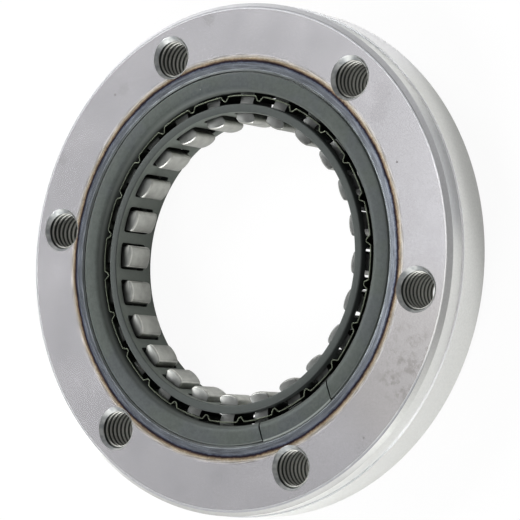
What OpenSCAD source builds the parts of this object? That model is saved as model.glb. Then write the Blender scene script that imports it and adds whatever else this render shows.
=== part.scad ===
// Starter clutch: a one-way clutch that joins a starter gear's hub to an engine's flywheel.
// A hardened ring carries two pressed cages, a ribbon spring and a full circle of sprags.
// The ring lies on its back face, its axis is Z, and the flywheel bolts onto the front face.

/* [Clutch] */
// Diameter of the circle that the free sprags leave open for the hub
hub_circle_d = 52; // [48:0.5:60]
// Height of a free sprag, from the hub's circle towards the race
sprag_reach = 7.9; // [7.6:0.1:8.4]
// Thickness of the ring, from the race to its outside
ring_wall = 15.5; // [14.5:0.5:18]

/* [Outer ring] */
// Thickness of the ring from back face to front face
ring_t = 12.5; // [12.2:0.1:16]
// Depth of the locating register, measured from the front face
register_depth = 4.3; // [2:0.1:6]
// How far the register is ground below the outside, on the radius
register_step = 0.25; // [0.1:0.05:0.6]
// Width of the grinding relief at the register's shoulder
relief_w = 0.2; // [0.2:0.05:0.5]
// How deep the grinding relief lies below the register
relief_depth = 0.1; // [0.1:0.05:0.3]
// Chamfer on the outer front and back edges
edge_chamfer = 0.85; // [0.3:0.05:1.2]
// Small chamfer at both ends of the race and at the mouth of the cage's seat
mouth_chamfer = 0.25; // [0.1:0.05:0.4]

/* [Tapped holes] */
// Number of tapped holes
bolt_count = 6; // [4:1:8]
// Distance from the outside of the ring to the middle of each tapped hole
bolt_inset = 7; // [6:0.25:8]
// Core diameter of the thread
tap_d = 6.8; // [5:0.1:7]
// Depth of the countersink at both faces
countersink_depth = 0.9; // [0.3:0.1:1.1]
// Angle of the first hole
bolt_angle = 49.5; // [0:0.5:60]

/* [Outer cage] */
// Sheet thickness of the outer cage
outer_gauge = 1; // [0.8:0.05:1.15]
// Space between the race and the wall of the outer cage
race_cage_gap = 0.9; // [0.8:0.05:1]
// Width of the flange outside the cage wall
flange_w = 2.65; // [1.8:0.05:2.8]
// Inside radius of the bend between the wall and the flange
bend_r = 0.3; // [0.2:0.05:0.5]
// How far the flange lies below the ring's face
flange_recess = 0.08; // [0:0.02:0.2]
// How far the outer cage stops short of the ring's back face
outer_back_gap = 1; // [0.5:0.1:1.8]
// How far the sprung part of the flange stands out past the rest
drag_lift = 0.27; // [0.15:0.01:0.35]
// Direction that the two shear cuts run in
cut_angle = -72; // [-90:1:-60]
// Distance from the ring's axis to the first shear cut
first_cut_offset = -3.5; // [-6:0.5:0]
// Distance from the ring's axis to the second shear cut
second_cut_offset = 13.5; // [8:0.5:18]
// Width of each shear cut
cut_w = 0.3; // [0.2:0.05:0.5]

/* [Ribbon spring] */
// Thickness of the spring strip
strip_t = 0.2; // [0.15:0.05:0.3]
// Space between the outer cage and the spring strip
spring_gap = 0.6; // [0.5:0.05:0.7]
// How far the spring stops short of the ring's back face
spring_back_gap = 0.8; // [0.6:0.1:1.5]
// How far the spring's front edge lies below the ring's face
spring_recess = 1; // [0.8:0.1:1.3]
// Gap between the folds and the inner cage
fold_gap = 0.6; // [0.5:0.05:0.8]
// Width of each fold between its shoulders, before they are rounded
fold_w = 1.75; // [1.5:0.05:2]
// Width of the fold's foot, before it is rounded
fold_foot = 0.5; // [0.4:0.05:0.6]
// Radius of the four bends in a fold, at the middle of the strip's thickness
fold_bend_r = 0.3; // [0.2:0.05:0.35]

/* [Inner cage] */
// Wall thickness of the inner cage
inner_wall = 1.65; // [1.3:0.05:1.7]
// Gap between the hub's circle and the inner cage
hub_cage_gap = 2.15; // [2:0.05:2.3]
// How far the inner cage stops short of the ring's back face
inner_back_gap = 0.7; // [0.4:0.1:1.5]
// How far the inner cage lies below the ring's face
inner_recess = 0.5; // [0.3:0.1:0.8]
// Rounding of the inner cage's end edges
end_round = 0.3; // [0.2:0.05:0.6]
// Corner radius of the windows in both cages
window_corner = 0.6; // [0.3:0.1:1]

/* [Sprags] */
// Number of sprags
sprag_count = 24; // [20:1:24]
// Angle of the first sprag
sprag_angle = 10.9; // [0:0.1:15]
// Axial length of a sprag
sprag_len = 6.3; // [5.5:0.1:6.8]
// How far the sprags' front ends lie below the ring's face
sprag_recess = 2.5; // [2.3:0.1:2.8]
// Width of a sprag's inner head
inner_head_w = 4.3; // [4:0.1:4.5]
// Width of a sprag's outer head
outer_head_w = 3.7; // [3.4:0.1:3.9]
// Radius of the hollow on each side of the waist
waist_hollow_r = 4; // [3.4:0.1:6]
// Straight side of each head where the waist leans away from it
long_side_h = 1.6; // [1:0.1:1.8]
// Straight side of each head where the waist leans towards it
short_side_h = 0.25; // [0.1:0.05:0.6]
// Radius of the cam that grips the hub
inner_cam_r = 5.3; // [5:0.1:6]
// How far the hub cam's centre lies off the middle, clockwise from the front
inner_cam_offset = 0.45; // [0.3:0.05:0.6]
// Radius of the cam that grips the race
outer_cam_r = 4; // [3.8:0.1:4.6]
// How far the race cam's centre lies off the middle, counterclockwise from the front
outer_cam_offset = 0.8; // [0.6:0.05:0.9]
// Corner radius of the inner head
inner_corner_r = 0.9; // [0.6:0.05:1]
// Corner radius of the outer head
outer_corner_r = 0.6; // [0.4:0.05:0.7]
// Chamfer on the ends of the gripping faces
sprag_chamfer = 0.3; // [0.1:0.05:0.4]

/* [Clearances] */
// Gap between a free sprag and the race
race_gap = 0.1; // [0.05:0.01:0.15]
// Gap between a sprag's ends and the cage windows
end_gap = 0.55; // [0.3:0.05:0.6]
// Gap between a sprag's inner head and the side of its window in the inner cage
inner_side_gap = 0.55; // [0.5:0.05:0.6]
// Gap between a sprag's outer head and the side of its window in the outer cage
outer_side_gap = 0.35; // [0.3:0.05:0.4]
// Gap between a sprag and the side of its window in the spring
spring_side_gap = 0.3; // [0.25:0.05:0.4]
// Gap between the flange and the seat's floor
seat_gap = 0.05; // [0.03:0.01:0.1]
// Gap between the sprung part of the flange and the seat's wall
drag_gap = 0.08; // [0.05:0.01:0.1]

/* [Hidden] */
round_fn = 192;
corner_fn = 32;
bend_steps = 6;
// Degrees between the points of a sprag's cams and of its corners
cam_step = 6;
corner_step = 15;
// Cuts and cutters run this far past the faces that they open
past = 1;

hub_circle_r = hub_circle_d / 2;
sprag_top_r = hub_circle_r + sprag_reach;
race_r = sprag_top_r + race_gap;
ring_r = race_r + ring_wall;
register_r = ring_r - register_step;
register_back = ring_t - register_depth;
bolt_circle_r = ring_r - bolt_inset;

// Outer cage, from the race inwards and from the front backwards
wall_out_r = race_r - race_cage_gap;
wall_in_r = wall_out_r - outer_gauge;
flange_r = wall_out_r + flange_w;
flange_front = ring_t - flange_recess;
flange_back = flange_front - outer_gauge;
bend_out_r = bend_r + outer_gauge;

// Seat for the flange in the ring's face
sprung_r = flange_r + drag_lift;
seat_r = sprung_r + drag_gap;
seat_floor = flange_back - seat_gap;

// Inner cage
inner_bore_r = hub_circle_r + hub_cage_gap;
inner_out_r = inner_bore_r + inner_wall;
inner_front = ring_t - inner_recess;

// Spring strip
strip_out_r = wall_in_r - spring_gap;
strip_in_r = strip_out_r - strip_t;
strip_mid_r = (strip_in_r + strip_out_r) / 2;
foot_r = inner_out_r + fold_gap;
fold_half = asin((fold_w / 2 + fold_bend_r) / strip_mid_r);
spring_front = ring_t - spring_recess;

// Sprags
sprag_step = 360 / sprag_count;
sprag_front = ring_t - sprag_recess;
sprag_back = sprag_front - sprag_len;
half_inner = inner_head_w / 2;
half_outer = outer_head_w / 2;
inner_cam_at = [hub_circle_r + inner_cam_r, -inner_cam_offset];
outer_cam_at = [sprag_top_r - outer_cam_r, outer_cam_offset];

// Windows, from the sprags' own sizes
window_len = sprag_len + 2 * end_gap;
window_mid = (sprag_front + sprag_back) / 2;

// Outer ring: turned blank, race, flange seat and tapped holes

module ring_section() {
    polygon([
        [race_r + mouth_chamfer, 0],
        [ring_r - edge_chamfer, 0],
        [ring_r, edge_chamfer],
        [ring_r, register_back],
        [register_r - relief_depth, register_back],
        [register_r - relief_depth, register_back + relief_w],
        [register_r, register_back + relief_w],
        [register_r, ring_t - edge_chamfer],
        [register_r - edge_chamfer, ring_t],
        [seat_r + mouth_chamfer, ring_t],
        [seat_r, ring_t - mouth_chamfer],
        [seat_r, seat_floor],
        [race_r + mouth_chamfer, seat_floor],
        [race_r, seat_floor - mouth_chamfer],
        [race_r, mouth_chamfer]
    ]);
}

module tapped_hole() {
    tall = countersink_depth + past;
    wide_r = tap_d / 2 + tall;
    translate([0, 0, -past]) cylinder(d = tap_d, h = ring_t + 2 * past, $fn = corner_fn);
    translate([0, 0, ring_t - countersink_depth])
        cylinder(r1 = tap_d / 2, r2 = wide_r, h = tall, $fn = corner_fn);
    translate([0, 0, -past])
        cylinder(r1 = wide_r, r2 = tap_d / 2, h = tall, $fn = corner_fn);
}

module outer_ring() {
    color([0.71, 0.71, 0.73])
    difference() {
        rotate_extrude($fn = round_fn) ring_section();
        for (i = [0 : bolt_count - 1])
            rotate([0, 0, bolt_angle + i * 360 / bolt_count])
                translate([bolt_circle_r, 0, 0]) tapped_hole();
    }
}

// Windows: a rounded slot cut outwards along X, at the height of the sprags

module rounded_block(len, wide, corner) {
    square([len, wide - 2 * corner], center = true);
    square([len - 2 * corner, wide], center = true);
    for (x = [-1, 1], y = [-1, 1])
        translate([x * (len / 2 - corner), y * (wide / 2 - corner)])
            circle(r = corner, $fn = corner_fn);
}

module window_ring(from_r, to_r, side_low, side_high, corner) {
    wide = side_high - side_low;
    for (i = [0 : sprag_count - 1])
        rotate([0, 0, sprag_angle + i * sprag_step])
            translate([from_r, (side_low + side_high) / 2, window_mid])
                rotate([0, 90, 0])
                    linear_extrude(to_r - from_r) rounded_block(window_len, wide, corner);
}

// Outer cage: pressed cup with an outward flange and one sprung stretch of rim

module outer_cage_section() {
    bend_c = [wall_out_r + bend_r, flange_front - bend_out_r];
    translate([wall_in_r, outer_back_gap])
        square([outer_gauge, bend_c[1] - outer_back_gap]);
    translate([bend_c[0], flange_back]) square([sprung_r - bend_c[0], outer_gauge]);
    intersection() {
        difference() {
            translate(bend_c) circle(r = bend_out_r, $fn = corner_fn);
            translate(bend_c) circle(r = bend_r, $fn = corner_fn);
        }
        translate([bend_c[0] - bend_out_r, bend_c[1]]) square(bend_out_r);
    }
}

// A block over the flange and bend, between two lines that run the way of the shear cuts
module between_lines(low, high) {
    rotate([0, 0, cut_angle])
        translate([0, low, flange_front - bend_out_r])
            cube([seat_r + past, high - low, bend_out_r + past]);
}

// What the rim lacks everywhere but on its sprung stretch
module rim_trim() {
    difference() {
        translate([0, 0, flange_back - bend_r])
            cylinder(r = seat_r, h = bend_out_r + past, $fn = round_fn);
        translate([0, 0, flange_back - past])
            cylinder(r = flange_r, h = bend_out_r + 3 * past, $fn = round_fn);
        between_lines(first_cut_offset, second_cut_offset);
    }
}

module outer_cage() {
    color([0.35, 0.38, 0.37])
    difference() {
        rotate_extrude($fn = round_fn) outer_cage_section();
        rim_trim();
        for (at = [first_cut_offset, second_cut_offset])
            between_lines(at - cut_w / 2, at + cut_w / 2);
        window_ring(wall_in_r - past, wall_out_r + past / 2,
            -half_outer - outer_side_gap, half_outer + outer_side_gap, window_corner);
    }
}

// Ribbon spring: a thin strip round the sprags' waists, folded inwards between them

// The corner at b between a and c, rounded to r: places along it, each with the way out of the strip
function bend(a, b, c, r) =
    let (u = (a - b) / norm(a - b), v = (c - b) / norm(c - b),
         half = acos(u * v) / 2, way = -sign(cross(u, v)),
         centre = b + (u + v) / norm(u + v) * r / sin(half),
         spoke = b + u * r / tan(half) - centre,
         from = atan2(spoke[1], spoke[0]), sweep = way * (180 - 2 * half))
    [for (i = [0 : bend_steps]) let (t = from + sweep * i / bend_steps)
        [centre + r * [cos(t), sin(t)], way * [cos(t), sin(t)]]];

module strip_fold() {
    low = [
        strip_mid_r * [cos(fold_half), -sin(fold_half)],
        [strip_mid_r * cos(asin(fold_w / 2 / strip_mid_r)), -fold_w / 2],
        [foot_r + strip_t / 2, -fold_foot / 2]
    ];
    high = [for (p = low) [p[0], -p[1]]];
    line = concat(
        [[low[0], low[0] / strip_mid_r]],
        bend(low[0], low[1], low[2], fold_bend_r),
        bend(low[1], low[2], high[2], fold_bend_r),
        bend(low[2], high[2], high[1], fold_bend_r),
        bend(high[2], high[1], high[0], fold_bend_r),
        [[high[0], high[0] / strip_mid_r]]
    );
    polygon(concat(
        [for (p = line) p[0] + p[1] * strip_t / 2],
        [for (i = [len(line) - 1 : -1 : 0]) line[i][0] - line[i][1] * strip_t / 2]
    ));
}

// The part of the strip's circle that a fold takes the place of
module fold_room() {
    side = (strip_out_r + past) * [cos(fold_half), sin(fold_half)];
    polygon([[0, 0], [side[0], -side[1]], side]);
}

module strip_outline() {
    difference() {
        circle(r = strip_out_r, $fn = round_fn);
        circle(r = strip_in_r, $fn = round_fn);
        for (i = [0 : sprag_count - 1])
            rotate(sprag_angle + (i + 0.5) * sprag_step) fold_room();
    }
    for (i = [0 : sprag_count - 1])
        rotate(sprag_angle + (i + 0.5) * sprag_step) strip_fold();
}

module ribbon_spring() {
    color([0.56, 0.57, 0.5])
    difference() {
        translate([0, 0, spring_back_gap])
            linear_extrude(spring_front - spring_back_gap) strip_outline();
        window_ring(strip_in_r - past / 2, strip_out_r + past / 2,
            -half_outer - spring_side_gap,
            hollow_face(high_hollow, strip_mid_r) + spring_side_gap, strip_t);
    }
}

// Inner cage: a heavier pressed ring with the same number of windows

module inner_cage_section() {
    x = [inner_bore_r + end_round, inner_out_r - end_round];
    y = [inner_back_gap + end_round, inner_front - end_round];
    translate([inner_bore_r, y[0]]) square([inner_wall, y[1] - y[0]]);
    translate([x[0], inner_back_gap])
        square([x[1] - x[0], inner_front - inner_back_gap]);
    for (cx = x, cy = y) translate([cx, cy]) circle(r = end_round, $fn = corner_fn);
}

module inner_cage() {
    color([0.33, 0.36, 0.35])
    difference() {
        rotate_extrude($fn = round_fn) inner_cage_section();
        window_ring(inner_bore_r - past, inner_out_r + past / 2,
            -half_inner - inner_side_gap, half_inner + inner_side_gap, window_corner);
    }
}

// Sprags: the outline lies across the race gap, X along the radius and Y counterclockwise.
// Each head is a cam arc that runs smoothly into two rounded corners, and the waist leans.

// Points along an arc about c, with both its ends
function arc(c, r, from, to, step) =
    let (n = ceil(abs(to - from) / step))
    [for (i = [0 : n]) let (a = from + (to - from) * i / n) c + r * [cos(a), sin(a)]];

// The same arc without its ends, where a neighbour already has them
function inside(points) = [for (i = [1 : len(points) - 2]) points[i]];

// Centre of the corner on side s of a head whose cam faces along way, inwards or outwards
function corner_at(cam_at, cam_r, corner_r, half, s, way) =
    let (y = s * (half - corner_r), dy = y - cam_at[1])
    [cam_at[0] + way * sqrt(pow(cam_r - corner_r, 2) - dy * dy), y];

// Direction of point p from point c, from 0 to 360 degrees
function bearing(c, p) =
    let (a = atan2(p[1] - c[1], p[0] - c[0]))
    a < 0 ? a + 360 : a;

// Centre of the hollow on side s that ends at p on the inner head and at q on the outer one
function hollow_at(p, q, s) =
    let (d = q - p, h = sqrt(pow(waist_hollow_r, 2) - d * d / 4))
    (p + q) / 2 + s * h * [-d[1], d[0]] / norm(d);

// How far the face of the hollow about c lies to the side, at radius x
function hollow_face(c, x) = c[1] - sqrt(pow(waist_hollow_r, 2) - pow(x - c[0], 2));

in_low = corner_at(inner_cam_at, inner_cam_r, inner_corner_r, half_inner, -1, -1);
in_high = corner_at(inner_cam_at, inner_cam_r, inner_corner_r, half_inner, 1, -1);
out_low = corner_at(outer_cam_at, outer_cam_r, outer_corner_r, half_outer, -1, 1);
out_high = corner_at(outer_cam_at, outer_cam_r, outer_corner_r, half_outer, 1, 1);
high_from = [in_high[0] + long_side_h, half_inner];
high_to = [out_high[0] - short_side_h, half_outer];
low_from = [in_low[0] + short_side_h, -half_inner];
low_to = [out_low[0] - long_side_h, -half_outer];
high_hollow = hollow_at(high_from, high_to, 1);
low_hollow = hollow_at(low_from, low_to, -1);

module sprag_outline() {
    in_turn = [bearing(inner_cam_at, in_low), bearing(inner_cam_at, in_high)];
    out_turn = [bearing(outer_cam_at, out_low) - 360, bearing(outer_cam_at, out_high)];
    polygon(concat(
        arc(in_low, inner_corner_r, 270, in_turn[0], corner_step),
        inside(arc(inner_cam_at, inner_cam_r, in_turn[0], in_turn[1], cam_step)),
        arc(in_high, inner_corner_r, in_turn[1], 90, corner_step),
        arc(high_hollow, waist_hollow_r, bearing(high_hollow, high_from),
            bearing(high_hollow, high_to), cam_step),
        arc(out_high, outer_corner_r, 90, out_turn[1], corner_step),
        inside(arc(outer_cam_at, outer_cam_r, out_turn[1], out_turn[0], cam_step)),
        arc(out_low, outer_corner_r, out_turn[0], -90, corner_step),
        arc(low_hollow, waist_hollow_r, bearing(low_hollow, low_to),
            bearing(low_hollow, low_from), cam_step)
    ));
}

// Barrel about the ring's axis that takes the chamfers off the ends of the gripping faces
module end_barrel() {
    low_r = hub_circle_r - sprag_chamfer;
    high_r = sprag_top_r + sprag_chamfer;
    rotate_extrude($fn = round_fn)
        polygon([
            [hub_circle_r + sprag_chamfer, sprag_back],
            [sprag_top_r - sprag_chamfer, sprag_back],
            [high_r, sprag_back + 2 * sprag_chamfer],
            [high_r, sprag_front - 2 * sprag_chamfer],
            [sprag_top_r - sprag_chamfer, sprag_front],
            [hub_circle_r + sprag_chamfer, sprag_front],
            [low_r, sprag_front - 2 * sprag_chamfer],
            [low_r, sprag_back + 2 * sprag_chamfer]
        ]);
}

module sprag(number) {
    color([0.56, 0.56, 0.52])
    intersection() {
        rotate([0, 0, sprag_angle + (number - 1) * sprag_step])
            translate([0, 0, sprag_back]) linear_extrude(sprag_len) sprag_outline();
        end_barrel();
    }
}

outer_ring();
outer_cage();
ribbon_spring();
inner_cage();
sprag(1);  // sprag_01
sprag(2);  // sprag_02
sprag(3);  // sprag_03
sprag(4);  // sprag_04
sprag(5);  // sprag_05
sprag(6);  // sprag_06
sprag(7);  // sprag_07
sprag(8);  // sprag_08
sprag(9);  // sprag_09
sprag(10);  // sprag_10
sprag(11);  // sprag_11
sprag(12);  // sprag_12
sprag(13);  // sprag_13
sprag(14);  // sprag_14
sprag(15);  // sprag_15
sprag(16);  // sprag_16
sprag(17);  // sprag_17
sprag(18);  // sprag_18
sprag(19);  // sprag_19
sprag(20);  // sprag_20
sprag(21);  // sprag_21
sprag(22);  // sprag_22
sprag(23);  // sprag_23
sprag(24);  // sprag_24
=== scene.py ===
import math

import bmesh
import bpy
from mathutils import Matrix, Vector


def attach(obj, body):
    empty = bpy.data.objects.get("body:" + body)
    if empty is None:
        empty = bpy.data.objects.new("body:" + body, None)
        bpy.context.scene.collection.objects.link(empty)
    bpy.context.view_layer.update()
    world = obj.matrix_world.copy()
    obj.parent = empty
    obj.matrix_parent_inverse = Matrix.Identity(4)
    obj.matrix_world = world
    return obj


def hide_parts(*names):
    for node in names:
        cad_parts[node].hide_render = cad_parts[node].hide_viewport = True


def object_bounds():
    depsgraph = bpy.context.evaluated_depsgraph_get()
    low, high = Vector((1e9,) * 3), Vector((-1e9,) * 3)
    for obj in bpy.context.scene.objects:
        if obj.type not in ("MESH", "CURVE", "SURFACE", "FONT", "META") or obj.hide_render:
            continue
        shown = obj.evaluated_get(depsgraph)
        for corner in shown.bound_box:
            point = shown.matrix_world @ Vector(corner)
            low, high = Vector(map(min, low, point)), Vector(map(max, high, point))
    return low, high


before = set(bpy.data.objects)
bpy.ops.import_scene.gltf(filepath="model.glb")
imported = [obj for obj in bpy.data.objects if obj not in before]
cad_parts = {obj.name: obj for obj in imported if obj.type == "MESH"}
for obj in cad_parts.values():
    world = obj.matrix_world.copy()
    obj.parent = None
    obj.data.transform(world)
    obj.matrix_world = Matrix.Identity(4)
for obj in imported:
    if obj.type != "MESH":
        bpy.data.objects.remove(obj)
cad_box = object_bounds()


# Camera. It looks down on the clutch's front face from the right, through a long lens, so that
# the ring's rim shows on the right and the bore's left wall shows the sprags.

mm = 0.001
camera_yaw = math.radians(-35.2857)
camera_pitch = math.radians(-4.8639)
camera_distance = 478.55 * mm
camera_aim = Vector((5.83, -0.383)) * mm
camera_lens = 173.1
camera_reach = (0.01, 50)
sensor_width = 36
front_z = cad_box[1].z

turn = Matrix.Rotation(camera_pitch, 3, "X") @ Matrix.Rotation(camera_yaw, 3, "Y")
stand = turn.transposed() @ Vector((camera_aim.x, camera_aim.y, camera_distance))
stand.z += front_z
camera = bpy.data.objects.new("camera", bpy.data.cameras.new("camera"))
camera.data.lens = camera_lens
camera.data.sensor_width = sensor_width
camera.data.clip_start, camera.data.clip_end = camera_reach
camera.matrix_world = Matrix.Translation(stand) @ turn.transposed().to_4x4()
bpy.context.scene.collection.objects.link(camera)
bpy.context.scene.camera = camera
bpy.context.scene.view_settings.view_transform = "Standard"


# Floor and light. Matt white paper lies under the clutch, and soft boxes stand round it. The
# camera sees the paper mostly as plain white, and the metal mirrors it mostly as it is lit.

class Wire:
    """A socket of a shader tree. Sums and products of wires add Math nodes to the tree."""

    def __init__(self, tree, socket=None):
        self.tree, self.socket = tree, socket

    def node(self, kind, settings=None, values=None, out=0):
        """Adds a node with its settings and the values or links of its sockets, and gives its output."""
        made = self.tree.nodes.new("ShaderNode" + kind)
        for name, value in (settings or {}).items():
            if name == "stops":
                ramp = made.color_ramp
                while len(ramp.elements) < len(value):
                    ramp.elements.new(1)
                for element, (at, colour) in zip(ramp.elements, value):
                    element.position, element.color = at, (*colour, 1)
            else:
                setattr(made, name, value)
        for name, value in (values or {}).items():
            if isinstance(value, Wire):
                self.tree.links.new(value.socket, made.inputs[name])
            elif isinstance(value, tuple) and len(value) == 3 and made.inputs[name].type == "RGBA":
                made.inputs[name].default_value = (*value, 1)
            else:
                made.inputs[name].default_value = value
        return Wire(self.tree, made.outputs[out] if made.outputs else None)

    def math(self, operation, *values):
        return self.node("Math", {"operation": operation}, dict(enumerate((self, *values))))

    def __add__(self, other):
        return self.math("ADD", other)

    def __sub__(self, other):
        return self.math("SUBTRACT", other)

    def __rsub__(self, other):
        return self.math("MULTIPLY_ADD", -1.0, other)

    def __mul__(self, other):
        return self.math("MULTIPLY", other)

    def __truediv__(self, other):
        return self.math("DIVIDE", other)

    def __rtruediv__(self, other):
        return self.node("Math", {"operation": "DIVIDE"}, {0: other, 1: self})

    __radd__ = __add__
    __rmul__ = __mul__

    def step(self, low, high, to_low=0.0, to_high=1.0):
        """Runs smoothly from to_low to to_high as this value goes from low to high."""
        return self.node("MapRange", {"interpolation_type": "SMOOTHSTEP"},
                         {0: self, 1: low, 2: high, 3: to_low, 4: to_high})

    def other(self, name):
        """Another output of the node that this wire comes from."""
        return Wire(self.tree, self.socket.node.outputs[name])

    def noise(self, scale, detail=2.0, roughness=0.5):
        """A noise from 0 to 1 over this point."""
        return self.node("TexNoise", None,
                         {"Vector": self, "Scale": scale, "Detail": detail, "Roughness": roughness})

    def mix(self, first, second):
        """A colour that goes from first to second as this value goes from 0 to 1."""
        return self.node("Mix", {"data_type": "RGBA"}, {0: self, 6: first, 7: second}, out=2)

    def shaded(self, shade):
        """This colour times a shade."""
        return self.node("Mix", {"data_type": "RGBA", "blend_type": "MULTIPLY"},
                         {0: 1.0, 6: self, 7: shade}, out=2)


def new_material(name):
    """An empty material, and a wire to start its nodes from."""
    material = bpy.data.materials.new(name)
    material.use_nodes = True
    material.node_tree.nodes.clear()
    return material, Wire(material.node_tree)


floor_half = 3
floor_white, plain_white = (0.9, 0.9, 0.9), (1, 1, 1)
plain_to_camera, plain_to_metal = 0.94, 0.1
ambient = 0.34

floor_mesh = bpy.data.meshes.new("floor")
floor_mesh.from_pydata([(-floor_half, -floor_half, 0), (floor_half, -floor_half, 0),
                        (floor_half, floor_half, 0), (-floor_half, floor_half, 0)], [], [(0, 1, 2, 3)])
floor = bpy.data.objects.new("floor", floor_mesh)
bpy.context.scene.collection.objects.link(floor)

paper, wire = new_material("white_paper")
seen = wire.node("LightPath", out="Is Camera Ray")
mirrored = seen.other("Is Glossy Ray") + seen.other("Is Transmission Ray")
plainness = seen * plain_to_camera + mirrored * plain_to_metal
lit = wire.node("BsdfDiffuse", None, {"Color": floor_white})
plain = wire.node("Emission", None, {"Color": plain_white, "Strength": 1.0})
mixed = wire.node("MixShader", None, {0: plainness, 1: lit, 2: plain})
wire.node("OutputMaterial", None, {"Surface": mixed})
floor_mesh.materials.append(paper)

world = bpy.data.worlds.new("studio")
bpy.context.scene.world = world
world.use_nodes = True
world.node_tree.nodes.clear()
wire = Wire(world.node_tree)
sky = wire.node("Background", None, {"Color": plain_white, "Strength": ambient})
wire.node("OutputWorld", None, {"Surface": sky})


def soft_box(name, place, size, power):
    """A square lamp that faces the clutch."""
    lamp = bpy.data.lights.new(name, "AREA")
    lamp.shape, lamp.size, lamp.energy = "SQUARE", size, power
    box = bpy.data.objects.new(name, lamp)
    box.location = place
    box.rotation_euler = (-Vector(place)).to_track_quat("-Z", "Y").to_euler()
    bpy.context.scene.collection.objects.link(box)


soft_box("key_light", (-0.95, 0.83, 0.82), 0.5, 14.5)
soft_box("low_light", (-0.38, -1.17, 0.86), 0.5, 15)
soft_box("left_light", (-1.36, 0.0, 0.63), 0.5, 8)
soft_box("top_light", (-0.455, 0.17, 1.25), 0.4, 0.46)
soft_box("small_light", (0.1, 0.15, 1.3), 0.12, 0.8)


# Outer ring. It is turned from bearing steel, hardened and ground, with a locating register at
# the front of its rim and six tapped holes. The face is tinted where the cage's seat was heated.

ring_r = 49.5 * mm
ring_t = 12.5 * mm
register_r = 49.25 * mm
register_back = 8.2 * mm
relief_w = 0.2 * mm
relief_depth = 0.1 * mm
edge_chamfer = 0.85 * mm
race_r = 34 * mm
mouth_chamfer = 0.25 * mm
seat_r = 36.1 * mm
seat_floor = 11.37 * mm
broken_edge = 0.1 * mm
guard_w = 0.15 * mm
ring_columns = 360

bolt_count = 6
bolt_circle_r = 42.5 * mm
bolt_angle = math.radians(49.5)
core_r = 3.4 * mm
root_r = 4.0 * mm
pitch = 1.25 * mm
countersink_depth = 0.9 * mm
thread_columns = 64
crest_end, root_start, root_end = 0.25, 0.5625, 0.6875
# Shares of one turn of the thread at which its wall has a row of points.
thread_phases = [0, 0.125, crest_end, 0.354, 0.458, root_start, 0.625, root_end, 0.79, 0.896]
sharp_angle = math.radians(32)

face_steel, face_stain, pit_grey = (0.79, 0.78, 0.815), (0.65, 0.635, 0.66), (0.22, 0.20, 0.20)
# The rim's bright and dull tones are a painted highlight and a painted shade.
rim_steel, rim_painted_highlight, rim_painted_shade = (0.86, 0.865, 0.84), (0.99, 0.99, 1.0), (0.58, 0.59, 0.60)
# The chamfer's tones change round the ring as painted light, and its rounded edge has a dull painted
# shade.
edge_painted_shade = (0.38, 0.385, 0.40)
edge_painted_light = [(0.0, (0.42, 0.42, 0.41)), (0.07, (0.52, 0.52, 0.51)), (0.15, (0.95, 0.96, 0.93)),
              (0.27, (0.8, 0.8, 0.78)), (0.36, (0.62, 0.62, 0.61)), (0.58, (0.62, 0.62, 0.63)),
              (0.78, (0.72, 0.725, 0.745)), (0.9, (0.62, 0.625, 0.64)), (1.0, (0.66, 0.66, 0.68))]
# The race wall is painted dark, a painted shade in the bore, and the seat is painted lighter against the
# shade of its gap.
race_painted_shade, seat_painted_light = (0.16, 0.17, 0.16), (0.32, 0.34, 0.34)
drilled_steel, drilled_light = (0.33, 0.345, 0.35), (0.52, 0.53, 0.52)
# The thread's crests are painted light and its roots painted shade; deep in the hole both are painted
# lighter against the hole's shade.
crest_painted_highlight, deep_crest_painted_light = (0.46, 0.46, 0.43), (0.95, 0.95, 0.9)
root_painted_shade, deep_root_painted_light = (0.04, 0.045, 0.042), (0.15, 0.16, 0.14)
handled_grey, handled_brown = (0.70, 0.675, 0.67), (0.50, 0.475, 0.46)

# The tint and the marks, in millimetres. A stop of the tint has its distance from the axis and its
# colour. A mark on the face has the two measures of its place, its size and its strength.
heat_tint = [(36.1, (0.12, 0.13, 0.13)), (36.3, (0.15, 0.165, 0.17)), (36.55, (0.25, 0.27, 0.30)),
             (36.9, (0.20, 0.22, 0.25)), (37.4, (0.25, 0.27, 0.31)), (37.7, (0.14, 0.16, 0.21)),
             (37.85, (0.035, 0.032, 0.055)), (38.05, (0.04, 0.025, 0.03)), (38.2, (0.20, 0.14, 0.10)),
             (38.4, (0.46, 0.36, 0.25)), (38.62, (0.65, 0.56, 0.44)), (38.85, (0.73, 0.675, 0.60)),
             (39.2, (0.77, 0.75, 0.75)), (39.6, face_steel)]
pits = [(37.9, 15.8, 0.3, 0.7), (32.7, -22.4, 0.25, 0.6),
        (30.4, -34.6, 0.25, 0.5), (-28.2, 34.0, 0.35, 0.4)]
stains = [(34.7, 28.8, 3.0, 0.5), (33.9, 25.2, 2.6, 0.5), (-5.0, 46.8, 1.8, 0.5),
          (-41.7, 21.9, 1.6, 0.45), (-39.0, 26.6, 1.6, 0.4), (-26.1, 34.9, 1.8, 0.4)]
handled_spot, handled_r = (40.0, -21.0, 12.5), 10.0

# Where one finish or band of painted light and shade gives way to the next, in millimetres: first off
# the axis, then up from the back.
seat_wall, seat_lip, tint_waves, tint_sheen_band = (36.12, 36.2), (36.35, 36.5), (36.5, 37.4), (37.4, 37.9)
tint_fade, smears_from, rim_from = 0.5, (39.5, 42), (44, 45)
edge_from, edge_rough_from, groove_from = (48.0, 48.2), (48.1, 48.3), (49, 49.1)
light_reaches, register_from, shoulder_z, shoulder_half = (3, 11.5), (8.3, 8.5), 8.3, (0.12, 0.3)
seat_foot, chamfer_from = (11.0, 11.3), (11.5, 11.7)
round_from, face_from = (12.36, 12.42), (12.38, 12.46)

rim_rough, face_rough, seat_rough = 0.36, 0.23, 0.3
chamfer_rough, worn_rough, drilled_rough = 0.22, 0.25, 0.2
ring_relief = 0.004 * mm


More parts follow.
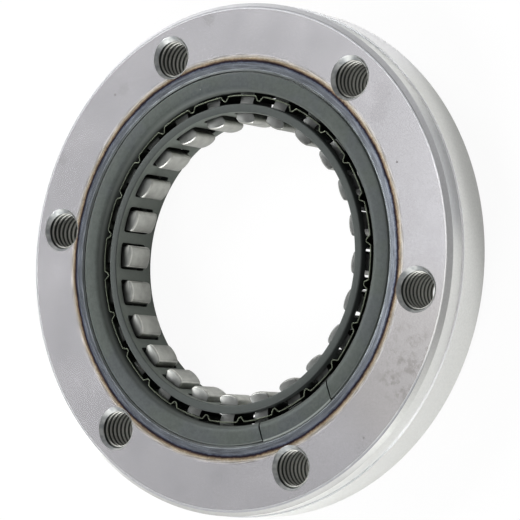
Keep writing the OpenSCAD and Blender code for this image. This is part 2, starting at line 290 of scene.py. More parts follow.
def softened(points, radii, steps=3):
    """The open line through points, with an arc of each given radius at the points between its ends."""
    line = [Vector(points[0])]
    for before, corner, after, radius in zip(points, points[1:], points[2:], radii):
        corner = Vector(corner)
        a, b = (Vector(before) - corner).normalized(), (Vector(after) - corner).normalized()
        half = a.angle(b) / 2
        if radius == 0 or half > math.radians(89):
            line.append(corner)
            continue
        centre = corner + (a + b).normalized() * (radius / math.sin(half))
        spoke = corner + a * (radius / math.tan(half)) - centre
        sweep = math.copysign(math.pi - 2 * half, b.x * a.y - b.y * a.x)
        line += [centre + Matrix.Rotation(sweep * i / steps, 2) @ spoke for i in range(steps + 1)]
    line.append(Vector(points[-1]))
    return line


def circle_of(mesh, r, z, count):
    """A circle of points about the axis."""
    angles = [2 * math.pi * i / count for i in range(count)]
    return [mesh.verts.new((r * math.cos(angle), r * math.sin(angle), z)) for angle in angles]


def turned(mesh, line, count):
    """Turns the line about the axis into a skin, and gives its first and last circles."""
    circles = [circle_of(mesh, r, z, count) for r, z in line]
    for low, high in zip(circles, circles[1:]):
        for i in range(count):
            mesh.faces.new((low[i], low[(i + 1) % count], high[(i + 1) % count], high[i]))
    return circles[0], circles[-1]


def loop_edges(mesh, loop):
    """The edges of a closed loop of points, made where they are missing."""
    return [mesh.edges.get((a, b)) or mesh.edges.new((a, b)) for a, b in zip(loop, loop[1:] + loop[:1])]


def thread_radius(phase):
    """The radius of the thread's wall at a share of its turn: crest, flank, root and flank again."""
    if phase < crest_end:
        return core_r
    if phase < root_start:
        return core_r + (root_r - core_r) * (phase - crest_end) / (root_start - crest_end)
    if phase < root_end:
        return root_r
    return root_r - (root_r - core_r) * (phase - root_end) / (1 - root_end)


def tapped_hole(mesh, centre):
    """A wall whose rows follow the thread's helix, cut by a countersink at each face. Its groove
    layer is 0 at the faces, 0.5 in a countersink, and 1 to 2 from the thread's crest to its root."""
    groove = mesh.verts.layers.float.get("groove")
    ends = {0: {}, ring_t: {}}
    rows = []
    for turn_number in range(-1, math.ceil(ring_t / pitch) + 2):
        for phase in thread_phases:
            row = []
            for j in range(thread_columns):
                share = j / thread_columns
                z = min(max(pitch * (turn_number + phase + share), 0), ring_t)
                wall = thread_radius((z / pitch - share) % 1)
                r = max(wall, core_r + countersink_depth - z, core_r + countersink_depth - (ring_t - z))
                angle = 2 * math.pi * share
                point = centre + Vector((r * math.cos(angle), r * math.sin(angle), z))
                vertex = ends.get(z, {}).get(j) or mesh.verts.new(point)
                if z in ends:
                    ends[z][j] = vertex
                else:
                    vertex[groove] = 1 + (r - core_r) / (root_r - core_r) if r == wall else 0.5
                row.append(vertex)
            rows.append(row)
    for i in range(len(rows) - len(thread_phases) - 1):
        for j in range(thread_columns):
            lap = 0 if j + 1 < thread_columns else len(thread_phases)
            corners = [rows[i][j], rows[i + lap][(j + 1) % thread_columns],
                       rows[i + lap + 1][(j + 1) % thread_columns], rows[i + 1][j]]
            corners = [v for k, v in enumerate(corners) if v not in corners[:k]]
            if len(corners) > 2:
                mesh.faces.new(corners)
    return [[ends[z][j] for j in range(thread_columns)] for z in (0, ring_t)]


def faced_out(piece):
    """Points the piece's faces outwards, and shades it smooth up to its sharp edges."""
    mesh = bmesh.new()
    mesh.from_mesh(piece.data)
    bmesh.ops.recalc_face_normals(mesh, faces=mesh.faces)
    mesh.to_mesh(piece.data)
    mesh.free()
    piece.data.shade_smooth()
    piece.data.set_sharp_from_angle(angle=sharp_angle)


def plain_mesh(name, mesh):
    """Turns a bmesh into the data of an object, and frees it."""
    data = bpy.data.meshes.new(name)
    mesh.to_mesh(data)
    mesh.free()
    return data


def finished(name, mesh, material):
    """Makes the mesh a piece of one material, with its faces outwards."""
    data = plain_mesh(name, mesh)
    data.materials.append(material)
    piece = bpy.data.objects.new(name, data)
    bpy.context.scene.collection.objects.link(piece)
    faced_out(piece)
    return piece


rim_line = softened(
    [(ring_r - edge_chamfer - guard_w - broken_edge, 0), (ring_r - edge_chamfer, 0),
     (ring_r, edge_chamfer), (ring_r, register_back), (register_r - relief_depth, register_back),
     (register_r - relief_depth, register_back + relief_w), (register_r, register_back + relief_w),
     (register_r, ring_t - edge_chamfer), (register_r - edge_chamfer, ring_t),
     (register_r - edge_chamfer - guard_w - broken_edge, ring_t)],
    [broken_edge] * 2 + [broken_edge / 2] * 4 + [broken_edge, broken_edge / 2])
bore_line = softened(
    [(seat_r + mouth_chamfer + guard_w, ring_t), (seat_r + mouth_chamfer, ring_t),
     (seat_r, ring_t - mouth_chamfer), (seat_r, seat_floor), (race_r + mouth_chamfer, seat_floor),
     (race_r, seat_floor - mouth_chamfer), (race_r, mouth_chamfer), (race_r + mouth_chamfer, 0),
     (race_r + mouth_chamfer + guard_w, 0)],
    [broken_edge / 2] * 7)

ring_mesh = bmesh.new()
ring_mesh.verts.layers.float.new("groove")
rim_back, rim_front = turned(ring_mesh, rim_line, ring_columns)
bore_front, bore_back = turned(ring_mesh, bore_line, ring_columns)
mouths = []
for i in range(bolt_count):
    angle = bolt_angle + 2 * math.pi * i / bolt_count
    mouths.append(tapped_hole(ring_mesh, Vector((math.cos(angle), math.sin(angle), 0)) * bolt_circle_r))
for outside, inside, side in ((rim_back, bore_back, 0), (rim_front, bore_front, 1)):
    loops = [outside, inside] + [mouth[side] for mouth in mouths]
    edges = [edge for loop in loops for edge in loop_edges(ring_mesh, loop)]
    bmesh.ops.triangle_fill(ring_mesh, use_beauty=True, use_dissolve=False, edges=edges)


def surface_point(wire):
    """A point of the clutch in millimetres, and its three measures."""
    spot = wire.node("VectorMath", {"operation": "SCALE"},
                     {0: wire.node("TexCoord", out="Object"), 3: 1 / mm})
    x = wire.node("SeparateXYZ", None, {0: spot}, out="X")
    return spot, x, x.other("Y"), x.other("Z")


def off_axis(x, y):
    """How far a point is from the clutch's axis."""
    return (x * x + y * y).math("SQRT")


def distance(spot, mark):
    """How far a point is from a mark."""
    return spot.node("VectorMath", {"operation": "DISTANCE"}, {0: spot, 1: mark}, out="Value")


def coat(wire, colour, roughness, metallic=1.0, bump=None, bump_depth=0.0):
    """A metal shader with the given colour, roughness and fine relief."""
    values = {"Base Color": colour, "Roughness": roughness, "Metallic": metallic}
    if bump:
        relief = {"Height": bump, "Strength": 1.0, "Distance": bump_depth}
        values["Normal"] = wire.node("Bump", None, relief)
    wire.node("OutputMaterial", None, {"Surface": wire.node("BsdfPrincipled", None, values)})


ring_steel, wire = new_material("ground_steel")
spot, x, y, z = surface_point(wire)
r = off_axis(x, y)
up, across = y / r, x / r
around = wire.node("CombineXYZ", None, {0: across, 1: up, 2: 0.0})
swirl = wire.node("CombineXYZ", None, {0: across * 9, 1: up * 9, 2: (r - z) * 3})
cloud, grain = spot.noise(0.13, 3.0), spot.noise(2.4, 2.0)

colour = cloud.step(0.35, 0.65, 0, 0.35).mix(face_steel, face_stain)
for marks, dark in ((stains, face_stain), (pits, pit_grey)):
    for mark_x, mark_y, size, strength in marks:
        away = distance(spot, (mark_x, mark_y, ring_t / mm)) + (grain - 0.5) * size
        colour = away.step(size * 0.4, size, strength, 0).mix(colour, dark)
away = distance(spot, handled_spot)
colour = away.step(handled_r, 2.2 * handled_r, 0.8, 0).mix(colour, handled_grey)
smears = spot.noise(0.45, 4.0, 0.7).step(0.44, 0.68, 0, 0.8) * r.step(*smears_from)
colour = (smears * away.step(0.5 * handled_r, handled_r, 1, 0)).mix(colour, handled_brown)

waves = (around.noise(5.0, 3.0) - 0.5) * 0.5 + (spot.noise(1.8) - 0.5) * 0.35
reach = r + r.step(*tint_waves) * waves
first, last = heat_tint[0][0], heat_tint[-1][0]
stops = [((at - first) / (last - first), tint) for at, tint in heat_tint]
tint = wire.node("ValToRGB", {"stops": stops}, {0: (reach - first) / (last - first)})
# The tint's inner band is painted lighter on the +x side, a painted sheen.
painted_sheen = across.step(0.7, 0.97, 0, 0.6) * reach.step(*tint_sheen_band, 1, 0) + 1
tint = tint.shaded(swirl.noise(1.1, 2.0).step(0.3, 0.7, 0.75, 1.3) * painted_sheen)
colour = reach.step(last - tint_fade, last).mix(tint, colour)

register = z.step(*register_from)
shoulder = (z - shoulder_z).math("ABSOLUTE").step(*shoulder_half, 1, 0)
# Behind the register the rim is painted lighter towards the top, a painted highlight; the register is
# painted darker at the top and in a band on the +x side above the middle, a painted shade.
rim_colour = register.mix(up.step(0.6, 0.8).mix(rim_steel, rim_painted_highlight),
                          up.step(0.75, 0.9).mix(rim_steel, rim_painted_shade))
rim_colour = (register * across.step(0.78, 0.92) * up.step(-0.05, 0.15)).mix(rim_colour, rim_painted_shade)
# The turned shoulder is painted bright against the shade in its groove, and painted dull near the top
# and bottom against glints.
shoulder_colour = up.math("ABSOLUTE").step(0.65, 0.85).mix(rim_painted_highlight, rim_painted_shade)
rim_colour = shoulder.mix(rim_colour, shoulder_colour)
# Round the ring the chamfer and the face's outer margin carry painted light, unevenly on the +x side;
# the rounded edge is painted dull except on the +x side, a painted shade against glints.
edge_colour = wire.node("ValToRGB", {"stops": edge_painted_light}, {0: up * 0.5 + 0.5})
edge_round = z.step(*round_from) * r.step(*edge_from)
edge_colour = (edge_round * across.step(0.85, 0.97, 1, 0)).mix(edge_colour, edge_painted_shade)
rim_colour = z.step(*chamfer_from).mix(rim_colour, edge_colour)
edge = r + (spot.noise(0.6, 3.0) - 0.5) * across.step(0.2, 0.6, 0, 0.4)
colour = edge.step(*edge_from).mix(colour, edge_colour)
colour = (z.step(*face_from, 1, 0) * r.step(*rim_from)).mix(colour, rim_colour)
# In the bore: painted shade on the race wall, painted light on the seat.
colour = r.step(*seat_wall).mix(z.step(*seat_foot).mix(race_painted_shade, seat_painted_light), colour)

groove = wire.node("Attribute", {"attribute_name": "groove"}, out="Fac")
# Painted light and shade on the threads: crests light, roots dark, both lighter deeper in the hole.
deep = z.step(*light_reaches, 1, 0)
cut = groove.step(1.02, 1.5).mix(deep.mix(crest_painted_highlight, deep_crest_painted_light), deep.mix(root_painted_shade, deep_root_painted_light))
drilled = groove.step(0.1, 0.3)
drilled_colour = spot.noise(0.7, 2.0).step(0.35, 0.65).mix(drilled_steel, drilled_light)
colour = drilled.mix(colour, drilled_colour)
colour = groove.step(0.7, 0.95).mix(colour, cut)
colour = colour.shaded(grain.step(0.2, 0.8, 0.96, 1.04))

rough = z.step(*face_from, rim_rough, face_rough) + (cloud - 0.5) * 0.1 + drilled * drilled_rough
rough = rough + r.step(*seat_lip, seat_rough, 0) + shoulder * r.step(*groove_from, 0, worn_rough)
rough = rough + z.step(*chamfer_from, 0, chamfer_rough) * r.step(*edge_rough_from)
rough = rough + edge_round * worn_rough
coat(wire, colour, rough, 1.0, swirl.noise(4.0, 2.0) * 0.5 + grain * 0.5, ring_relief)

ring = finished("ground_ring", ring_mesh, ring_steel)
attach(ring, "outer_ring")
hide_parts("outer_ring")


# Outer cage. It is a cup pressed from dark steel sheet, with a flange that lies in the ring's face.
# One window for each sprag is pierced in its wall. Two shear cuts free a stretch of the rim, which
# springs outwards and drags on the seat.

bay_count = 24
first_bay = math.radians(10.9)
window_low, window_high = 3.15 * mm, 10.55 * mm
cage_in_r, cage_out_r = 32.1 * mm, 33.1 * mm
cage_window_half = 2.2 * mm
window_corner = 0.6 * mm
flange_r = 35.75 * mm
flange_front, flange_back = 12.42 * mm, 11.42 * mm
cage_back = 1.0 * mm
bend_in_r, bend_out_r = 0.3 * mm, 1.3 * mm
drag_lift = 0.27 * mm
cut_angle = math.radians(-72)
cut_offsets = (-3.5 * mm, 13.5 * mm)
cut_w = 0.3 * mm
cut_clear = 1 * mm
flange_rounds = [0.2 * mm, 0.1 * mm]
back_round = 0.15 * mm
corner_steps, side_steps, bend_steps = 4, 4, 5
join_within = 0.005 * mm


def windowed_bay(r_in, r_out, window_half, front_cap, back_cap):
    """One bay of a round cage about the X axis, with a window in its middle, open at both sides. Each
    column of its wall has an angle, how far the window is open there, and whether it is pierced."""
    mid_r = (r_in + r_out) / 2
    half_bay = math.pi / bay_count
    side = math.asin(window_half / mid_r)
    columns = [(half_bay + (side - half_bay) * i / side_steps, 0.0, False) for i in range(side_steps)]
    for i in range(corner_steps + 1):
        a = math.radians(90 * i / corner_steps)
        y = window_half - window_corner * (1 - math.cos(a))
        columns.append((math.asin(y / mid_r), window_corner * math.sin(a), True))
    straight = window_half - window_corner
    columns += [(math.asin(y / mid_r), window_corner, True) for y in (straight / 2, 0)]
    columns = [(-angle, rise, pierced) for angle, rise, pierced in columns] + columns[-2::-1]
    mesh = bmesh.new()
    lines = []
    for angle, rise, _ in columns:
        low, high = window_low + window_corner - rise, window_high - window_corner + rise
        profile = [(r_in, low), (r_in, high), *front_cap, (r_out, high), (r_out, low), *back_cap]
        lines.append([mesh.verts.new((r * math.cos(angle), r * math.sin(angle), z)) for r, z in profile])
    outer_high = 2 + len(front_cap)
    count = len(lines[0])
    for here, there, (_, _, a), (_, _, b) in zip(lines, lines[1:], columns, columns[1:]):
        for k in range(count):
            if a and b and k in (0, outer_high):
                continue
            mesh.faces.new((here[k], there[k], there[(k + 1) % count], here[(k + 1) % count]))
        if a and b:
            mesh.faces.new((here[1], there[1], there[outer_high], here[outer_high]))
            mesh.faces.new((here[outer_high + 1], there[outer_high + 1], there[0], here[0]))
    for line, (_, rise, pierced) in zip(lines, columns):
        if pierced and rise == 0:
            mesh.faces.new((line[0], line[1], line[outer_high], line[outer_high + 1]))
    return plain_mesh("bay", mesh)


def bay_tree():
    """A Geometry Nodes tree that sets copies of one bay round the axis and joins them."""
    tree = bpy.data.node_groups.new("bays_round_axis", "GeometryNodeTree")
    for name, kind in (("Geometry", "Geometry"), ("Bays", "Int"), ("First Angle", "Float"),
                       ("Join Distance", "Float"), ("Material", "Material")):
        tree.interface.new_socket(name, in_out="INPUT", socket_type="NodeSocket" + kind)
    tree.interface.new_socket("Geometry", in_out="OUTPUT", socket_type="NodeSocketGeometry")
    add, link = tree.nodes.new, tree.links.new
    entry, leave = add("NodeGroupInput"), add("NodeGroupOutput")
    points, index = add("GeometryNodePoints"), add("GeometryNodeInputIndex")
    step, angle, euler = add("ShaderNodeMath"), add("ShaderNodeMath"), add("ShaderNodeCombineXYZ")
    turned_by, copies = add("FunctionNodeEulerToRotation"), add("GeometryNodeInstanceOnPoints")
    real = add("GeometryNodeRealizeInstances")
    merge, paint = add("GeometryNodeMergeByDistance"), add("GeometryNodeSetMaterial")
    step.operation, angle.operation = "DIVIDE", "MULTIPLY_ADD"
    step.inputs[0].default_value = 2 * math.pi
    link(entry.outputs["Bays"], points.inputs["Count"])
    link(entry.outputs["Bays"], step.inputs[1])
    link(index.outputs[0], angle.inputs[0])
    link(step.outputs[0], angle.inputs[1])
    link(entry.outputs["First Angle"], angle.inputs[2])
    link(angle.outputs[0], euler.inputs["Z"])
    link(euler.outputs[0], turned_by.inputs[0])
    link(points.outputs[0], copies.inputs["Points"])
    link(entry.outputs["Geometry"], copies.inputs["Instance"])
    link(turned_by.outputs[0], copies.inputs["Rotation"])
    link(copies.outputs[0], real.inputs[0])
    link(real.outputs[0], merge.inputs["Geometry"])
    link(entry.outputs["Join Distance"], merge.inputs["Distance"])
    link(merge.outputs[0], paint.inputs["Geometry"])
    link(entry.outputs["Material"], paint.inputs["Material"])
    link(paint.outputs[0], leave.inputs[0])
    return tree


def settled(piece):
    """Turns what the piece's modifiers make into its own plain mesh."""
    shown = piece.evaluated_get(bpy.context.evaluated_depsgraph_get())
    data = bpy.data.meshes.new_from_object(shown)
    piece.modifiers.clear()
    piece.data = data
    return piece


round_bays = bay_tree()


def ring_of_bays(name, bay, material):
    """A closed ring made of one bay, repeated round the axis."""
    piece = bpy.data.objects.new(name, bay)
    bpy.context.scene.collection.objects.link(piece)
    repeat = piece.modifiers.new("bays", "NODES")
    repeat.node_group = round_bays
    values = {"Bays": bay_count, "First Angle": first_bay, "Join Distance": join_within,
              "Material": material}
    for item in round_bays.interface.items_tree:
        if item.in_out == "INPUT" and item.name in values:
            repeat[item.identifier] = values[item.name]
    return settled(piece)


# The green, blue, pale and scuff tones are the steel's own; the pale tone also makes a painted highlight
# on the flange's outer edge, and the wall, bend and hub-wall tones are painted light.
cage_green, cage_blue, pale_mottle_and_highlight = (0.049, 0.059, 0.053), (0.048, 0.056, 0.058), (0.2, 0.22, 0.21)
cage_scuff, cage_wall_painted_light, bend_painted_light = (0.30, 0.33, 0.31), (0.10, 0.11, 0.10), (0.2, 0.22, 0.205)
hub_wall_painted_light, hub_front = (0.20, 0.222, 0.2), (0.052, 0.06, 0.057)
# Where one finish or band of painted light gives way to the next, in millimetres off the axis.
hub_wall_to, between_cages, wall_fade = (28.155, 28.25), (30, 31), (31.9, 33.4)
bend_fade, flange_edge_highlight = (32.12, 32.7), (35.6, 35.72)
cage_relief = 0.006 * mm

cage_finish, wire = new_material("dark_pressed_steel")
spot, x, y, _ = surface_point(wire)
r = off_axis(x, y)
mottle = spot.noise(1.5, 4.0, 0.6)
colour = spot.noise(0.12, 2.0).step(0.4, 0.6).mix(cage_green, cage_blue)
colour = mottle.step(0.3, 0.7, 0.0, 0.16).mix(colour, pale_mottle_and_highlight)
colour = spot.noise(0.9, 4.0, 0.7).step(0.70, 0.76, 0, 0.8).mix(colour, cage_scuff)
# The outer cage's inner wall and bend are painted lighter, a painted light against the shade beside the
# ribbon spring.
colour = r.step(*wall_fade, 0.35, 0).mix(colour, cage_wall_painted_light)
colour = r.step(*bend_fade, 0.8, 0).mix(colour, bend_painted_light)
# The flange's outer edge carries a painted highlight.
colour = r.step(*flange_edge_highlight).mix(colour, pale_mottle_and_highlight)
# The inner cage's bore is painted much lighter than its front, with a painted light line at its inner
# edge.
colour = r.step(*between_cages).mix(r.step(*hub_wall_to).mix(hub_wall_painted_light, hub_front), colour)
coat(wire, colour, mottle.step(0.3, 0.7, 0.55, 0.65), 0.5, mottle, cage_relief)

middle_z = (window_low + window_high) / 2
flange_cap = softened(
    [(cage_in_r, middle_z), (cage_in_r, flange_front), (flange_r, flange_front), (flange_r, flange_back),
     (cage_out_r, flange_back), (cage_out_r, middle_z)],
    [bend_out_r, *flange_rounds, bend_in_r], steps=bend_steps)[1:-1]
back_cap = softened(
    [(cage_out_r, middle_z), (cage_out_r, cage_back), (cage_in_r, cage_back), (cage_in_r, middle_z)],
    [back_round, back_round])[1:-1]
cage_bay = windowed_bay(cage_in_r, cage_out_r, cage_window_half, flange_cap, back_cap)
cage = ring_of_bays("pressed_outer_cage", cage_bay, cage_finish)

cut_depth = bend_out_r + cut_clear
cut_middle_z = flange_front + (cut_clear - bend_out_r) / 2
cutter_mesh = bmesh.new()
for offset in cut_offsets:
    block = bmesh.ops.create_cube(cutter_mesh, size=1)["verts"]
    bmesh.ops.scale(cutter_mesh, vec=(2 * flange_r, cut_w, cut_depth), verts=block)
    bmesh.ops.translate(cutter_mesh, vec=(flange_r, offset, cut_middle_z), verts=block)
bmesh.ops.rotate(cutter_mesh, matrix=Matrix.Rotation(cut_angle, 3, "Z"), verts=cutter_mesh.verts)
cutter = finished("cutter", cutter_mesh, cage_finish)
faced_out(cage)
cuts = cage.modifiers.new("cuts", "BOOLEAN")
cuts.object, cuts.operation, cuts.solver = cutter, "DIFFERENCE", "EXACT"
settled(cage)
bpy.data.objects.remove(cutter)
for vertex in cage.data.vertices:
    r = vertex.co.xy.length
    along = Matrix.Rotation(-cut_angle, 2) @ vertex.co.xy
    if along.x > 0 and cut_offsets[0] < along.y < cut_offsets[1] and r > cage_out_r:
        pull = min(1, (r - cage_out_r) / (flange_r - cage_out_r))
        vertex.co.xy *= 1 + drag_lift * pull / r
faced_out(cage)
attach(cage, "outer_cage")
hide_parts("outer_cage")


# Ribbon spring. A strip of thin spring steel is pierced with a window for each sprag, folded to a V
# between each two, and bent round the sprags' waists. It pushes every sprag against race and hub.

strip_r = 31.4 * mm
strip_t = 0.2 * mm
strip_back, strip_front = 0.8 * mm, 11.5 * mm
fold_r = 30.5 * mm
foot_half, fold_half = 0.25 * mm, 0.875 * mm
fold_round = 0.3 * mm
strip_window = (-2.15 * mm, 1.74 * mm)
strip_corner = 0.2 * mm

sheared_from = (11.42, 11.47)
sheared_edge, rolled_side = (0.10, 0.113, 0.085), (0.045, 0.05, 0.042)
broken_from = math.radians(40)


def ribbon_bay():
    """One bay of the strip, from the foot of a fold to the foot of the next. Each column has its
    point, how far the window is open there, and whether it is pierced."""
    half_bay = math.pi / bay_count
    fold = [(fold_r, 0), (fold_r, foot_half), (strip_r, fold_half), (strip_r, 2 * fold_half)]
    fold = softened(fold, [fold_round, fold_round], steps=4)[:-1]
    start = Matrix.Rotation(-half_bay, 2)
    last = start @ fold[-1]
    lead_in = [(start @ p, 0.0, False) for p in fold]
    low, high = (math.asin(y / strip_r) for y in strip_window)
    begin = math.atan2(last.y, last.x)
    corner = strip_corner / strip_r
    stops = [(begin + (low - begin) * i / 3, 0.0, False) for i in (1, 2)]
    stops += [(low + corner * (1 - math.cos(a)), strip_corner * math.sin(a), True)
              for a in (0, math.pi / 4, math.pi / 2)]
    stops += [(low + (high - low) * i / 6, strip_corner, True) for i in range(1, 6)]
    stops += [(high - corner * (1 - math.cos(a)), strip_corner * math.sin(a), True)
              for a in (math.pi / 2, math.pi / 4, 0)]
    stops += [(high + (-begin - high) * i / 3, 0.0, False) for i in (1, 2)]
    path = lead_in + [(Vector((math.cos(angle), math.sin(angle))) * strip_r, rise, pierced)
                      for angle, rise, pierced in stops]
    path += [(Vector((p.x, -p.y)), 0.0, False) for p, _, _ in reversed(lead_in)]
    mesh = bmesh.new()
    lines = []
    for p, rise, _ in path:
        low_z, high_z = window_low + strip_corner - rise, window_high - strip_corner + rise
        lines.append([mesh.verts.new((p.x, p.y, z)) for z in (strip_back, low_z, high_z, strip_front)])
    for here, there, (_, _, a), (_, _, b) in zip(lines, lines[1:], path, path[1:]):
        for k in range(3):
            if not (a and b and k == 1):
                mesh.faces.new((here[k], there[k], there[k + 1], here[k + 1]))
    return plain_mesh("ribbon_bay", mesh)


def edges_broken(piece, width):
    """Rounds the piece's sharp edges."""
    soft = piece.modifiers.new("soft_edges", "BEVEL")
    soft.width, soft.segments, soft.limit_method = width, 2, "ANGLE"
    soft.angle_limit, soft.use_clamp_overlap = broken_from, False
    settled(piece)
    faced_out(piece)


spring_steel, wire = new_material("rolled_spring_steel")
spot, _, _, z = surface_point(wire)
colour = z.step(*sheared_from).mix(rolled_side, sheared_edge)
coat(wire, colour, spot.noise(1.0).step(0.3, 0.7, 0.3, 0.42))

ribbon = ring_of_bays("folded_ribbon_spring", ribbon_bay(), spring_steel)
thick = ribbon.modifiers.new("gauge", "SOLIDIFY")
thick.thickness, thick.offset, thick.use_even_offset = strip_t, 0, True
settled(ribbon)
edges_broken(ribbon, strip_t / 10)
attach(ribbon, "ribbon_spring")
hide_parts("ribbon_spring")


# Inner cage. It is a heavier ring of the same dark steel, nearer the hub, pressed and pierced with
# as many windows. Its ends are rounded, and its wall keeps the sprags' inner heads in step.

inner_in_r, inner_out_r = 28.15 * mm, 29.8 * mm
inner_back, inner_front = 0.7 * mm, 12.0 * mm
inner_window_half = 2.7 * mm
end_round = 0.3 * mm

caps = []
for end_z, r, next_r in ((inner_front, inner_in_r, inner_out_r), (inner_back, inner_out_r, inner_in_r)):
    cap = softened([(r, middle_z), (r, end_z), (next_r, end_z), (next_r, middle_z)],
                   [end_round, end_round], steps=bend_steps)
    caps.append(cap[1:-1])
hub_cage_bay = windowed_bay(inner_in_r, inner_out_r, inner_window_half, *caps)
hub_cage = ring_of_bays("pressed_inner_cage", hub_cage_bay, cage_finish)
faced_out(hub_cage)
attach(hub_cage, "inner_cage")
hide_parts("inner_cage")


# Sprags. Each is a strut of hardened steel with a cam face at either end and a waist that leans,
# tumbled until its edges are round. They sit loose in the windows, and rock together between the
# race and the hub.

sprag_count = bay_count
sprag_front, sprag_back = 10.0 * mm, 3.7 * mm
hub_circle_r, sprag_top_r = 26 * mm, 33.9 * mm
half_inner, half_outer = 2.15 * mm, 1.85 * mm
inner_cam_r, outer_cam_r = 5.3 * mm, 4.0 * mm
inner_cam = Vector((hub_circle_r + inner_cam_r, -0.45 * mm))
outer_cam = Vector((sprag_top_r - outer_cam_r, 0.8 * mm))
inner_corner_r, outer_corner_r = 0.9 * mm, 0.6 * mm
hollow_r = 4.0 * mm
long_side, short_side = 1.6 * mm, 0.25 * mm
sprag_chamfer = 0.3 * mm
# How far in from a side the painted edge highlight reaches, past a slack.
highlight_w, side_slack = 0.25 * mm, 0.01 * mm
sprag_edge = 0.12 * mm
fine_step = math.radians(12)

# The cam tone is the steel's own. The waist tone is painted shade, the end tone is partly the cut end's
# finish and partly painted shade, and the white and the end's light tone are painted highlights.
cam_steel, end_steel, waist_painted_shade = (0.52, 0.525, 0.49), (0.19, 0.195, 0.19), (0.07, 0.075, 0.07)
highlight_white, end_painted_highlight = (0.98, 0.98, 0.94), (0.36, 0.37, 0.355)
# Where one finish or band of painted light and shade gives way to the next, in millimetres: first off
# the axis, then up from the back.
end_highlight_band, highlight_head, cam_to_waist, outer_head = (26.5, 28.0), (27.4, 28), (28.0, 29.4), (31.3, 31.5)
front_end, highlight_lines, highlight_line_half = (9.93, 9.985), (9.72, 3.95), (0.05, 0.2)
sprag_relief = 0.003 * mm


def arc(centre, r, start, end, grips=1, step=math.radians(5)):
    """Points of an arc, each with its share of the end chamfer, which fades where the sides begin."""
    count = math.ceil(abs(end - start) / step)
    spokes = [Matrix.Rotation(start + (end - start) * i / count, 2).col[0] for i in range(count + 1)]
    return [(centre + spoke * r, -spoke.x * grips) for spoke in spokes]


def bearing(centre, point):
    """The direction of a point from a centre, between nought and a full turn."""
    return math.atan2(point.y - centre.y, point.x - centre.x) % (2 * math.pi)


def head_corner(cam, cam_r, corner_r, half, side, way):
    """The centre of the corner arc that runs a cam into the sprag's side."""
    y = side * (half - corner_r)
    return Vector((cam.x + way * math.sqrt((cam_r - corner_r) ** 2 - (y - cam.y) ** 2), y))


def hollow(p, q, side):
    """The centre of the hollow between a side's ends."""
    d = q - p
    rise = math.sqrt(hollow_r ** 2 - d.length_squared / 4)
    return (p + q) / 2 + Vector((-d.y, d.x)).normalized() * (side * rise)


def sprag_outline():
    """Points round a sprag at rest, each with its share of the end chamfer."""
    in_low = head_corner(inner_cam, inner_cam_r, inner_corner_r, half_inner, -1, -1)
    in_high = head_corner(inner_cam, inner_cam_r, inner_corner_r, half_inner, 1, -1)
    out_low = head_corner(outer_cam, outer_cam_r, outer_corner_r, half_outer, -1, 1)
    out_high = head_corner(outer_cam, outer_cam_r, outer_corner_r, half_outer, 1, 1)
    high = (Vector((in_high.x + long_side, half_inner)), Vector((out_high.x - short_side, half_outer)))
    low = (Vector((in_low.x + short_side, -half_inner)), Vector((out_low.x - long_side, -half_outer)))
    high_hollow, low_hollow = hollow(*high, 1), hollow(*low, -1)
    right, left = math.pi / 2, 3 * math.pi / 2
    low_turn, high_turn = bearing(inner_cam, in_low), bearing(inner_cam, in_high)
    out_low_turn, out_high_turn = bearing(outer_cam, out_low) - 2 * math.pi, bearing(outer_cam, out_high)
    inner_head = (arc(in_low, inner_corner_r, left, low_turn, step=fine_step)
                  + arc(inner_cam, inner_cam_r, low_turn, high_turn)[1:-1]
                  + arc(in_high, inner_corner_r, high_turn, right, step=fine_step))
    outer_head = (arc(out_high, outer_corner_r, right, out_high_turn, step=fine_step)
                  + arc(outer_cam, outer_cam_r, out_high_turn, out_low_turn)[1:-1]
                  + arc(out_low, outer_corner_r, out_low_turn, -right, step=fine_step))
    high_from, high_to = (bearing(high_hollow, end) for end in high)
    low_to, low_from = (bearing(low_hollow, end) for end in low)
    high_side = arc(high_hollow, hollow_r, high_from, high_to, grips=0)
    low_side = arc(low_hollow, hollow_r, low_from, low_to, grips=0)
    return inner_head + high_side + outer_head + low_side


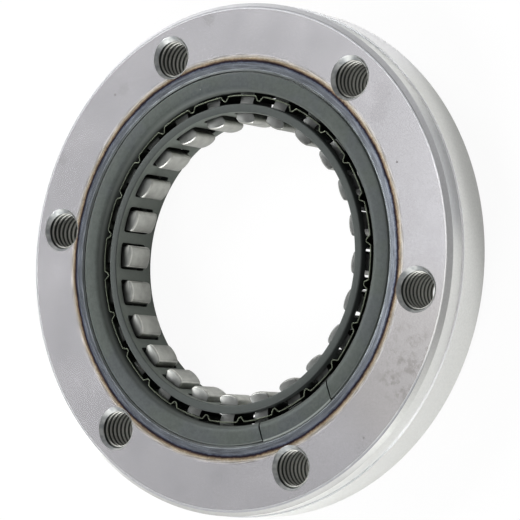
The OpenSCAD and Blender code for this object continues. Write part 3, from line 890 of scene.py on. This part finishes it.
def sprag_mesh(angle):
    """The outline drawn along the axis, with its gripping faces chamfered at both ends."""
    outline = sprag_outline()
    mesh = bmesh.new()
    # This layer marks the hub-side edges that carry a painted highlight.
    worn = mesh.verts.layers.float.new("worn")
    count = len(outline)
    rows = [[mesh.verts.new((p.x + share * drawn_in, p.y, z)) for p, share in outline]
            for z, drawn_in in ((sprag_back, sprag_chamfer), (sprag_back + sprag_chamfer, 0),
                                (sprag_front - sprag_chamfer, 0), (sprag_front, sprag_chamfer))]
    for row in rows:
        for vertex in row:
            in_from_side = half_inner - abs(vertex.co.y)
            at_hub = vertex.co.x < hub_circle_r + inner_corner_r
            vertex[worn] = at_hub and side_slack < in_from_side < highlight_w
    for low, high in zip(rows, rows[1:]):
        for i in range(count):
            mesh.faces.new((low[i], low[(i + 1) % count], high[(i + 1) % count], high[i]))
    mesh.faces.new(rows[0][::-1])
    mesh.faces.new(rows[-1])
    bmesh.ops.rotate(mesh, matrix=Matrix.Rotation(angle, 3, "Z"), verts=mesh.verts)
    return mesh


sprag_steel, wire = new_material("tumbled_steel")
spot, x, y, z = surface_point(wire)
r = off_axis(x, y)
up, across = y / r, x / r
wear = spot.noise(0.7, 3.0)
# The sprags are painted lighter on the -x side and darker on the +x side, painted light and shade by
# side.
lit_side = across.step(-0.6, 0.2, 1, 0)
# The waist and outer head are painted dark, a painted shade between the cages.
colour = (r + (wear - 0.5) * 0.6).step(*cam_to_waist).mix(cam_steel, waist_painted_shade)
# The front end is darker, partly the cut end's own finish and partly painted shade under the cages; near
# the cam edge on the -x side it carries a painted highlight where the end would round over.
ends = z.step(*front_end) * r.step(*outer_head, 1, 0)
colour = ends.mix(colour, (r.step(*end_highlight_band, 1, 0) * lit_side).mix(end_steel, end_painted_highlight))
# Thin white lines along the chamfers and the hub-side edges are painted highlights, on the -x side,
# weaker towards the top.
front_line, back_line = ((z - at).math("ABSOLUTE").step(*highlight_line_half, 1, 0) for at in highlight_lines)
worn = wire.node("Attribute", {"attribute_name": "worn"}, out="Fac")
edge = front_line + back_line + worn.step(0.2, 0.8)
painted_highlight_lines = edge.math("MINIMUM", 1.0) * r.step(*highlight_head, 1, 0) * lit_side
colour = (painted_highlight_lines * up.step(0.2, 0.65, 0.75, 0.1)).mix(colour, highlight_white)
# Random tone, times a painted shade on the +x side.
colour = colour.shaded(wear.step(0.3, 0.7, 0.88, 1.08) * across.step(0.0, 0.5, 1, 0.6))
rough = wear.step(0.3, 0.7, 0.37, 0.47) + painted_highlight_lines * 0.25
coat(wire, colour, rough, 1.0, spot.noise(3.0), sprag_relief)

for number in range(1, sprag_count + 1):
    node = f"sprag_{number:02d}"
    angle = first_bay + 2 * math.pi * (number - 1) / sprag_count
    piece = finished(f"tumbled_{node}", sprag_mesh(angle), sprag_steel)
    edges_broken(piece, sprag_edge)
    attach(piece, node)
    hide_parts(node)
